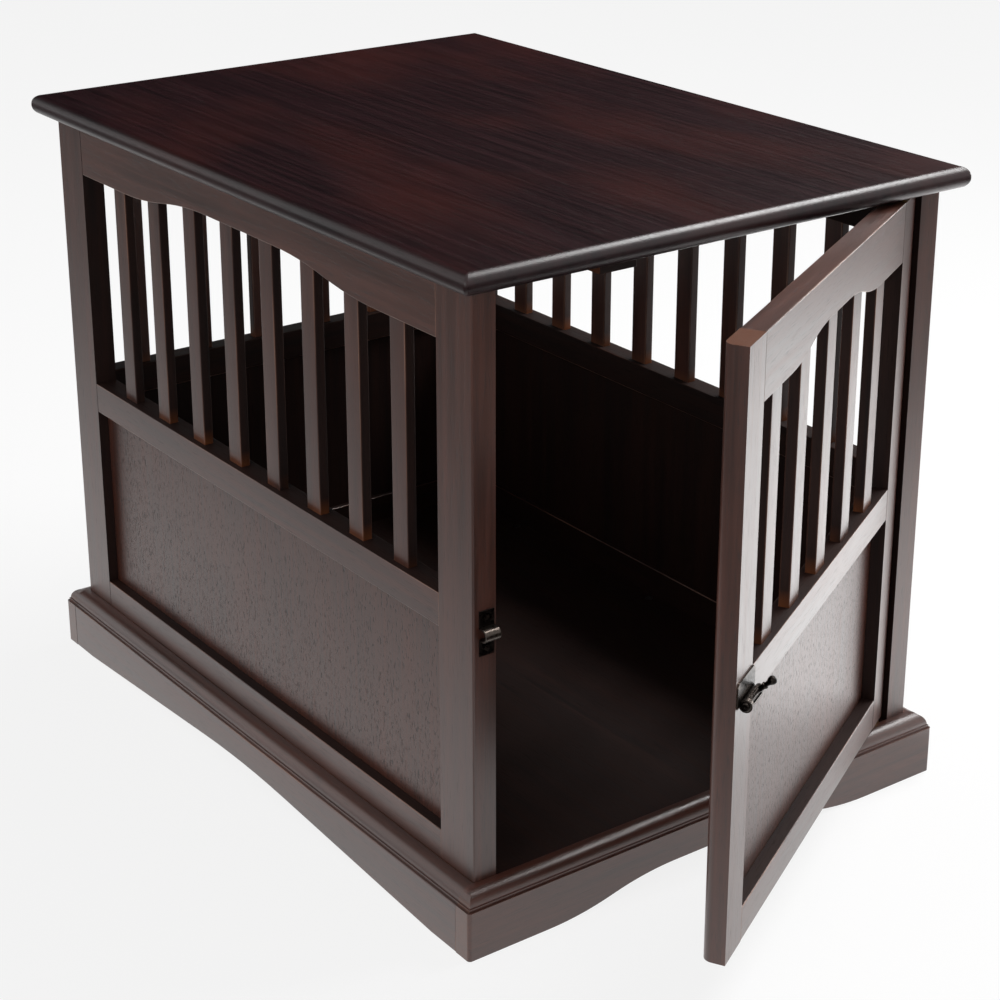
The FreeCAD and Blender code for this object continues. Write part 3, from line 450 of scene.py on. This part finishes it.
def tableTopMesh():
    low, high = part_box("table_top")
    radius, thick = tableTop["edgeRadius"] * mm, high.z - low.z
    profile = []
    for step in range(tableTop["edgeSteps"] + 1):
        angle = math.pi / 2 * step / tableTop["edgeSteps"]
        profile.append((radius * (1 - math.sin(angle)), radius * (1 - math.cos(angle))))
    profile += [(inset, thick - rise) for inset, rise in reversed(profile)]
    bm = bmesh.new()
    rings = []
    for inset, rise in profile:
        corner = tableTop["cornerRadius"] * mm * (1 - inset / radius) + tableTop["leastCorner"] * mm
        ring = []
        for signX, signY, start in ((1, 1, 0), (-1, 1, 90), (-1, -1, 180), (1, -1, 270)):
            centreX = (high.x if signX > 0 else low.x) - signX * (inset + corner)
            centreY = (high.y if signY > 0 else low.y) - signY * (inset + corner)
            for step in range(tableTop["cornerSteps"] + 1):
                turn = math.radians(start + 90 * step / tableTop["cornerSteps"])
                ring.append(bm.verts.new((centreX + corner * math.cos(turn),
                                          centreY + corner * math.sin(turn), low.z + rise)))
        rings.append(ring)
    count = len(rings[0])
    for lower, upper in zip(rings, rings[1:]):
        for i in range(count):
            j = (i + 1) % count
            bm.faces.new((lower[i], lower[j], upper[j], upper[i]))
    bm.faces.new(rings[-1])
    underside = bm.faces.new(list(reversed(rings[0])))
    # the underside gets the painted-shade stain
    underside.material_index = 1
    bm.normal_update()
    return bm


bm = tableTopMesh()
writeGrain(bm, layouts["flatLong"], "table_top")
makePiece("table.top", bm, (woods["top"], woods["inside"]), nodes["table_top"]["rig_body"], ["table_top"])
print("table top made")

# Metal that hands and rubbing have worn: brighter along its edges and in small patches.
wear = {
    "edgeRange": (0.54, 0.7),  # pointiness, from no wear to the most
    "edgeShare": 0.7,
    "patchRange": (0.5, 0.75),
    "patchDetail": 4.0,
    "patchRoughness": 0.6,
    "roughRange": (0.3, 0.7),
    "smoother": 0.08,  # roughness goes from this much under its value to that much over it
    "rougher": 0.1,
    "bump": 0.15,
    "bumpDepth": 0.1,  # mm
}


def rubbedMetal(name, dark, bright, brightShare, roughness, patchSize):
    material, tree = startMaterial(name)
    place = addNode(tree, "ShaderNodeTexCoord").outputs["Object"]
    patches = addNode(tree, "ShaderNodeTexNoise", inputs={
        "Vector": place, "Scale": 1 / (patchSize * mm), "Detail": wear["patchDetail"],
        "Roughness": wear["patchRoughness"]}).outputs["Fac"]
    edges = addNode(tree, "ShaderNodeNewGeometry").outputs["Pointiness"]
    drawn = {  # what it follows, the values it starts and ends at, and its strength at each
        "worn": (edges, wear["edgeRange"], (0.0, wear["edgeShare"])),
        "mottled": (patches, wear["patchRange"], (0.0, brightShare)),
        "rough": (patches, wear["roughRange"], (roughness - wear["smoother"], roughness + wear["rougher"])),
    }
    for layer, (value, (low, high), (atLow, atHigh)) in drawn.items():
        drawn[layer] = addNode(tree, "ShaderNodeMapRange", inputs={
            "Value": value, "From Min": low, "From Max": high, "To Min": atLow,
            "To Max": atHigh}).outputs["Result"]
    share = addNode(tree, "ShaderNodeMath", {"operation": "MAXIMUM"}, {
        0: drawn["worn"], 1: drawn["mottled"]}).outputs[0]
    ramp = addNode(tree, "ShaderNodeValToRGB", inputs={"Fac": share})
    ramp.color_ramp.elements[0].color = toLinear(dark)
    ramp.color_ramp.elements[1].color = toLinear(bright)
    bump = addNode(tree, "ShaderNodeBump", inputs={
        "Height": patches, "Strength": wear["bump"], "Distance": wear["bumpDepth"] * mm}).outputs["Normal"]
    shader = addNode(tree, "ShaderNodeBsdfPrincipled", inputs={
        "Base Color": ramp.outputs["Color"], "Metallic": 1.0, "Roughness": drawn["rough"], "Normal": bump})
    addNode(tree, "ShaderNodeOutputMaterial", inputs={"Surface": shader.outputs[0]})
    return material


metals = {  # dark colour, bright colour, how bright its patches get, roughness, patch size in mm
    # plated, blackened and rubbed: brown-black with a dull glint where the edges are worn
    "hardware": rubbedMetal("blackened steel, stamped and rubbed", "#151110", "#857a72", 0.2, 0.3, 2.5),
    # bright zinc over turned steel: cool grey, slightly clouded
    "steel": rubbedMetal("zinc plated steel, turned", "#8f9296", "#d5d7da", 0.5, 0.3, 1.5),
    # turned and left bare: warm yellow, dulled in patches
    "brass": rubbedMetal("brass, turned", "#a8843c", "#e2c579", 0.5, 0.28, 1.5),
}
finishes = {
    "steel": ("pivot_pin_top", "pivot_pin_bottom", "top_screws", "floor_screws", "plinth_screws"),
    "brass": ("pivot_bush_top", "pivot_bush_bottom"),
    "hardware": ("latch_plate", "latch_bolt", "latch_knob", "latch_screws", "keeper", "keeper_screws"),
}
for finish, names in finishes.items():
    for node in names:
        nodes[node].data.materials.clear()
        nodes[node].data.materials.append(metals[finish])
print("metal materials:", len(metals))

# The bolt, the knob and the rim round the barrel's tip are turned: each is a profile of (distance along,
# radius) in mm, spun round its line.
latch = {
    "bolt": [(0, 0), (0, 3.1), (0.4, 3.5), (33.2, 3.5), (33.7, 3.3), (34, 2.9), (34, 2.4), (33.4, 2.2),
             (33.4, 1.5), (34, 1.3), (34.1, 0.7), (34.1, 0)],
    "knob": [(0, 0), (0, 2.1), (7.2, 2.1), (7.5, 2.7), (8.4, 2.7), (8.7, 1.9), (10.2, 1.7), (12, 2.1),
             (13.6, 2.9), (15, 3.35), (16.3, 3.4), (17.4, 2.9), (18.1, 1.8), (18.4, 0)],
    "rim": [(0, 4.3), (0, 5.0), (0.35, 5.2), (0.95, 5.2), (1.3, 5.0), (1.3, 4.3), (0, 4.3)],
    "rimWidth": 1.3,
    "boltPastBarrel": 2,
    "steps": 32,
    "merge": 0.001,
}


def turned(name, start, axis, profile, body, replaced=()):
    side = axis.cross(up).normalized()
    other = axis.cross(side)
    steps = latch["steps"]
    bm = bmesh.new()
    rings = []
    for along, radius in profile:
        centre = start + axis * along * mm
        turns = [math.tau * step / steps for step in range(steps)] if radius else [0]
        rings.append([bm.verts.new(centre + (side * math.cos(turn) + other * math.sin(turn)) * radius * mm)
                      for turn in turns])
    for lower, upper in zip(rings, rings[1:]):
        for i in range(steps):
            j = (i + 1) % steps
            corners = [lower[i % len(lower)], lower[j % len(lower)],
                       upper[j % len(upper)], upper[i % len(upper)]]
            bm.faces.new(list(dict.fromkeys(corners)))  # a ring of one point gives a triangle
    bmesh.ops.remove_doubles(bm, verts=bm.verts, dist=latch["merge"] * mm)
    bmesh.ops.recalc_face_normals(bm, faces=bm.faces)
    makePiece(name, bm, (metals["hardware"],), body, replaced)


def reach(node, axis):
    spread = [vert.co.dot(axis) for vert in nodes[node].data.vertices]
    return min(spread), max(spread)


boltLow, boltHigh = reach("latch_bolt", towardsFreeEdge)
boltLine = sum((axis * sum(reach("latch_bolt", axis)) / 2 for axis in (outOfDoor, up)), Vector())
turned("latch.bolt", boltLine + towardsFreeEdge * boltLow, towardsFreeEdge, latch["bolt"],
       nodes["latch_bolt"]["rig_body"], ["latch_bolt"])
knobWay = (outOfDoor + up).normalized()
knobSide = knobWay.cross(towardsFreeEdge)
knobLength = latch["knob"][-1][0]
knobAlong = sum(reach("latch_knob", towardsFreeEdge)) / 2
knobRise = reach("latch_knob", knobWay)[1] - knobLength * mm
knobAside = sum(reach("latch_knob", knobSide)) / 2
knobStart = towardsFreeEdge * knobAlong + knobWay * knobRise + knobSide * knobAside
turned("latch.knob", knobStart, knobWay, latch["knob"], nodes["latch_knob"]["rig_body"], ["latch_knob"])
barrelTip = boltHigh - latch["boltPastBarrel"] * mm
rimStart = barrelTip - latch["rimWidth"] * mm
turned("latch.rim", boltLine + towardsFreeEdge * rimStart, towardsFreeEdge, latch["rim"],
       nodes["latch_plate"]["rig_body"])
print("latch made")

# White paint on a flat floor: matt, with the soft shadow of what stands on it.
stage = {
    "floorPaint": "#f9f9f9",
    "white": "#ffffff",
    "floorSize": 14,  # metres
    "floorCells": 8,
    "shadowShare": 0.16,  # how much of the lit floor the camera sees: the rest is plain white
    "worldLight": 0.3,
    "backdropLight": 1.0,
    "paintedPoolFades": (("X", -0.95, -0.2), ("Y", -0.95, -0.55), ("X", 1.9, 0.9)),
    "paintedPoolDark": 0.03,
}
floorMesh = bmesh.new()
bmesh.ops.create_grid(floorMesh, x_segments=stage["floorCells"], y_segments=stage["floorCells"],
                      size=stage["floorSize"] / 2)
floorData = bpy.data.meshes.new("floor")
floorMesh.to_mesh(floorData)
floorMesh.free()
floor = bpy.data.objects.new("floor", floorData)
floor.location.z = cadLow.z
bpy.context.scene.collection.objects.link(floor)
floorPaint, tree = startMaterial("white painted floor")
lit = addNode(tree, "ShaderNodeBsdfDiffuse", inputs={"Color": toLinear(stage["floorPaint"])})
path = addNode(tree, "ShaderNodeLightPath")

# Painted light: gloss sees a glowing pool painted on the floor, white by the table and dark further off:
# along each axis it fades in between the two places, in metres.
floorPoint = addNode(tree, "ShaderNodeTexCoord").outputs["Object"]
place = addNode(tree, "ShaderNodeSeparateXYZ", inputs={0: floorPoint})
paintedPool = 1.0
for axis, faded, full in stage["paintedPoolFades"]:
    fade = addNode(tree, "ShaderNodeMapRange", {"interpolation_type": "SMOOTHSTEP"}, {
        "Value": place.outputs[axis], "From Min": faded, "From Max": full}).outputs["Result"]
    paintedPool = addNode(tree, "ShaderNodeMath", {"operation": "MULTIPLY"}, {0: paintedPool, 1: fade}).outputs[0]
paintedPool = addNode(tree, "ShaderNodeMath", {"operation": "MAXIMUM"}, {
    0: paintedPool, 1: stage["paintedPoolDark"]}).outputs[0]
paintedPoolGlow = addNode(tree, "ShaderNodeEmission", inputs={"Strength": paintedPool})

white = addNode(tree, "ShaderNodeEmission", inputs={"Strength": stage["backdropLight"]})
direct = addNode(tree, "ShaderNodeMath", {"operation": "MAXIMUM"}, {
    0: path.outputs["Is Camera Ray"], 1: path.outputs["Is Transmission Ray"]}).outputs[0]
plainShare = addNode(tree, "ShaderNodeMath", {"operation": "MULTIPLY"}, {
    0: direct, 1: 1 - stage["shadowShare"]}).outputs[0]
seen = addNode(tree, "ShaderNodeMixShader", inputs={0: plainShare, 1: lit.outputs[0], 2: white.outputs[0]})
glossShare = addNode(tree, "ShaderNodeMath", {"operation": "MULTIPLY"}, {
    0: path.outputs["Is Glossy Ray"], 1: 1 - stage["shadowShare"]}).outputs[0]
floorMix = addNode(tree, "ShaderNodeMixShader", inputs={
    0: glossShare, 1: seen.outputs[0], 2: paintedPoolGlow.outputs[0]})
addNode(tree, "ShaderNodeOutputMaterial", inputs={"Surface": floorMix.outputs[0]})
floorData.materials.append(floorPaint)

# The world gives soft light, and plain white to the camera, to gloss and through glass.
world = bpy.data.worlds.new("studio")
bpy.context.scene.world = world
world.use_nodes = True
tree = world.node_tree
tree.nodes.clear()
path = addNode(tree, "ShaderNodeLightPath")
cameraOrGloss = addNode(tree, "ShaderNodeMath", {"operation": "MAXIMUM"}, {
    0: path.outputs["Is Camera Ray"], 1: path.outputs["Is Glossy Ray"]}).outputs[0]
seenShare = addNode(tree, "ShaderNodeMath", {"operation": "MAXIMUM"}, {
    0: path.outputs["Is Transmission Ray"], 1: cameraOrGloss}).outputs[0]
soft = addNode(tree, "ShaderNodeBackground", inputs={
    "Color": toLinear(stage["white"]), "Strength": stage["worldLight"]})
backdrop = addNode(tree, "ShaderNodeBackground", inputs={
    "Color": toLinear(stage["white"]), "Strength": stage["backdropLight"]})
backdropMix = addNode(tree, "ShaderNodeMixShader", inputs={
    0: seenShare, 1: soft.outputs[0], 2: backdrop.outputs[0]})
addNode(tree, "ShaderNodeOutputWorld", inputs={"Surface": backdropMix.outputs[0]})

# Where each softbox stands from the middle of the table, its size in metres and its power in watts. It looks
# at that middle, unless its facing is given.
lamps = {
    "highRight": {"from": (1.35, -0.15, 1.75), "size": (1.3, 0.6), "power": 48},
    "lowRight": {"from": (4.4, 0.3, 0.1), "size": (2.6, 0.7), "power": 45},
    "floorRight": {"from": (0.95, -0.1, -0.27), "size": (1.3, 1.3), "power": 6.6, "facing": (0, 0, 1)},
    "left": {"from": (-2.4, -0.7, 1.0), "size": (1.6, 1.0), "power": 12},
}
middle = (cadLow + cadHigh) / 2
for name, lamp in lamps.items():
    light = bpy.data.lights.new(name, "AREA")
    light.shape = "RECTANGLE"
    light.size, light.size_y = lamp["size"]
    light.energy = lamp["power"]
    holder = bpy.data.objects.new(name, light)
    holder.location = middle + Vector(lamp["from"])
    facing = Vector(lamp.get("facing", -Vector(lamp["from"])))
    holder.rotation_euler = facing.to_track_quat("-Z", "Y").to_euler()
    holder.visible_camera = False
    bpy.context.scene.collection.objects.link(holder)

# Black cotton cloth on a card that only gloss sees: it keeps the table top's reflection dark.
card = {
    "cloth": "#191919",
    "distance": 1.6,  # metres
    "width": 5.0,
    "height": 3.0,
    "turn": 36,  # degrees to the right of straight ahead
    "cells": 4,
}
cardMesh = bmesh.new()
bmesh.ops.create_grid(cardMesh, x_segments=card["cells"], y_segments=card["cells"], size=0.5)
bmesh.ops.scale(cardMesh, vec=(card["width"], card["height"], 1), verts=cardMesh.verts)
cardData = bpy.data.meshes.new("blackCard")
cardMesh.to_mesh(cardData)
cardMesh.free()
blackCard = bpy.data.objects.new("blackCard", cardData)
turn = math.radians(card["turn"])
blackCard.location = middle + Vector((math.sin(turn), math.cos(turn), 0)) * card["distance"]
blackCard.location.z = cadHigh.z + card["height"] / 2
blackCard.rotation_euler = (math.radians(90), 0, -turn)
blackCard.visible_camera = False
blackCard.visible_diffuse = False
blackCard.visible_shadow = False
blackCard.visible_transmission = False
bpy.context.scene.collection.objects.link(blackCard)
cardCloth, tree = startMaterial("black cloth")
cloth = addNode(tree, "ShaderNodeBsdfDiffuse", inputs={"Color": toLinear(card["cloth"])})
addNode(tree, "ShaderNodeOutputMaterial", inputs={"Surface": cloth.outputs[0]})
cardData.materials.append(cardCloth)
print("stage and lamps set")

camera = {
    "position": (-1.1131, -1.4742, 1.0238),
    "turn": 36.096,  # degrees to the right of straight ahead
    "tilt": 20.455,  # degrees down
    "lens": 81.2,  # mm
    "shift": -0.1,
}
lensData = bpy.data.cameras.new("camera")
lensData.lens = camera["lens"]
lensData.shift_y = camera["shift"]
viewer = bpy.data.objects.new("camera", lensData)
viewer.location = camera["position"]
viewer.rotation_euler = (math.radians(90 - camera["tilt"]), 0, math.radians(-camera["turn"]))
bpy.context.scene.collection.objects.link(viewer)
bpy.context.scene.camera = viewer
bpy.context.scene.view_settings.view_transform = "Standard"

print("scene ready")
